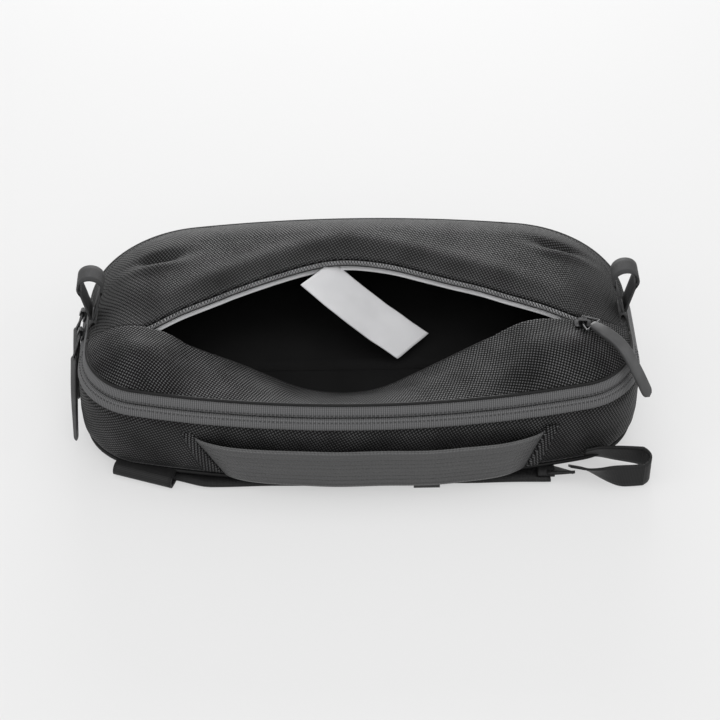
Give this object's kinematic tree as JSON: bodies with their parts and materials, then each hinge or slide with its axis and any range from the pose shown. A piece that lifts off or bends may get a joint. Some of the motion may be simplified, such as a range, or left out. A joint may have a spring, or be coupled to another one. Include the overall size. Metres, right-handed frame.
{
  "type": "sling bag",
  "caption": "Sling bag lying on its back, with a zipped main compartment, an open front pocket, a grab handle, side loops and a folded shoulder strap.",
  "frame": {"origin": "on the surface that the bag lies on, in the middle of the padded back's flat face", "axes": "+X to the bag's right side, +Y to its lower end, +Z from its back to its front"},
  "size_m": [0.3568, 0.198, 0.106],
  "materials": {
    "bag_fabric": "coarse woven nylon with a slight sheen",
    "light_lining": "smooth plain weave",
    "dark_lining": "smooth plain weave",
    "back_mesh": "padded spacer mesh",
    "foam": "closed-cell foam",
    "zip_tape": "ribbed, water-resistant",
    "zip_coil": "nylon coil",
    "webbing": "narrow-ribbed webbing",
    "grip_webbing": "ribbed seat-belt webbing",
    "puller_rubber": "matte coated fabric",
    "black_metal": "satin black",
    "black_plastic": "satin"
  },
  "bodies": {
    "bag_back": {"back_panel": "back_mesh", "back_foam": "foam", "gusset_top": "bag_fabric", "gusset_bottom": "bag_fabric", "zip_tape_back": "zip_tape", "zip_coil_back": "zip_coil", "zip_tape_end_left": "zip_tape", "zip_tape_end_right": "zip_tape", "zip_coil_end_left": "zip_coil", "zip_coil_end_right": "zip_coil", "main_lining": "dark_lining", "sleeve_panel": "dark_lining", "front_panel_far": "bag_fabric", "front_lining_far": "light_lining", "pocket_zip_tape_far": "zip_tape", "pocket_coil_far": "zip_coil", "pocket_back_far": "dark_lining", "pocket_divider": "light_lining", "handle_tab_left": "webbing", "handle_tab_right": "webbing", "side_loop_tab_left": "webbing", "side_loop_tab_right": "webbing", "shoulder_strap": "webbing", "strap_anchor": "webbing", "strap_loop_tab": "webbing"},
    "front_flap": {"front_panel_near": "bag_fabric", "zip_tape_front": "zip_tape", "zip_coil_front": "zip_coil", "pocket_zip_tape_near": "zip_tape", "pocket_coil_near": "zip_coil", "pocket_back_near": "dark_lining"},
    "grab_handle": {"grab_handle": "grip_webbing"},
    "side_loop_left": {"side_loop_left": "webbing"},
    "side_loop_right": {"side_loop_right": "webbing"},
    "strap_loop": {"strap_loop": "webbing"},
    "strap_adjuster": {"strap_adjuster": "black_plastic"},
    "main_slider_a": {"main_slider_a": "black_metal"},
    "main_slider_b": {"main_slider_b": "black_metal"},
    "main_pull_a": {"main_pull_link_a": "black_metal", "main_puller_a": "puller_rubber"},
    "main_pull_b": {"main_pull_link_b": "black_metal", "main_puller_b": "puller_rubber"},
    "pocket_slider": {"pocket_slider": "black_metal"},
    "pocket_pull": {"pocket_pull_link": "black_metal", "pocket_puller": "puller_rubber"}
  },
  "joints": [
    {"name": "flap_fold", "type": "hinge", "parent": "bag_back", "child": "front_flap", "pos_m": [0, -0.028, 0.0848], "axis": [-1, 0, 0], "range_deg": [0, 40]},
    {"name": "handle_swing", "type": "hinge", "parent": "bag_back", "child": "grab_handle", "pos_m": [0.007, -0.0854, 0.011], "axis": [1, 0, 0], "range_deg": [0, 25], "stiffness_Nm_per_rad": 0.05},
    {"name": "left_loop_bend", "type": "hinge", "parent": "bag_back", "child": "side_loop_left", "pos_m": [-0.163, -0.008, 0.0728], "axis": [0, 1, 0], "range_deg": [-32, 8], "stiffness_Nm_per_rad": 0.002},
    {"name": "right_loop_bend", "type": "hinge", "parent": "bag_back", "child": "side_loop_right", "pos_m": [0.163, -0.008, 0.0728], "axis": [0, 1, 0], "range_deg": [-8, 32], "stiffness_Nm_per_rad": 0.002},
    {"name": "strap_loop_swing", "type": "hinge", "parent": "bag_back", "child": "strap_loop", "pos_m": [0.1312, -0.087, 0.01], "axis": [0, 0, -1], "range_deg": [0, 30]},
    {"name": "adjuster_slide", "type": "slide", "parent": "bag_back", "child": "strap_adjuster", "axis": [1, 0, 0], "range_m": [-0.1, 0.055]},
    {"name": "main_slider_a_run", "type": "slide", "parent": "bag_back", "child": "main_slider_a", "axis": [0, -1, 0], "range_m": [0, 0.003]},
    {"name": "main_slider_b_run", "type": "slide", "parent": "bag_back", "child": "main_slider_b", "axis": [0, -1, 0], "range_m": [0, 0.01]},
    {"name": "pocket_slider_run", "type": "slide", "parent": "front_flap", "child": "pocket_slider", "axis": [-1, 0, 0], "range_m": [0, 0.004]},
    {"name": "main_pull_a_swing", "type": "hinge", "parent": "main_slider_a", "child": "main_pull_a", "pos_m": [-0.17222, 0.006, 0.06038], "axis": [0, 1, 0], "range_deg": [0, 100]},
    {"name": "main_pull_b_swing", "type": "hinge", "parent": "main_slider_b", "child": "main_pull_b", "pos_m": [-0.17222, -0.012, 0.06038], "axis": [0, 1, 0], "range_deg": [0, 100]},
    {"name": "pocket_pull_swing", "type": "hinge", "parent": "pocket_slider", "child": "pocket_pull", "pos_m": [0.136, -0.033, 0.0814], "axis": [0, 1, 0], "range_deg": [-120, 0]}
  ]
}
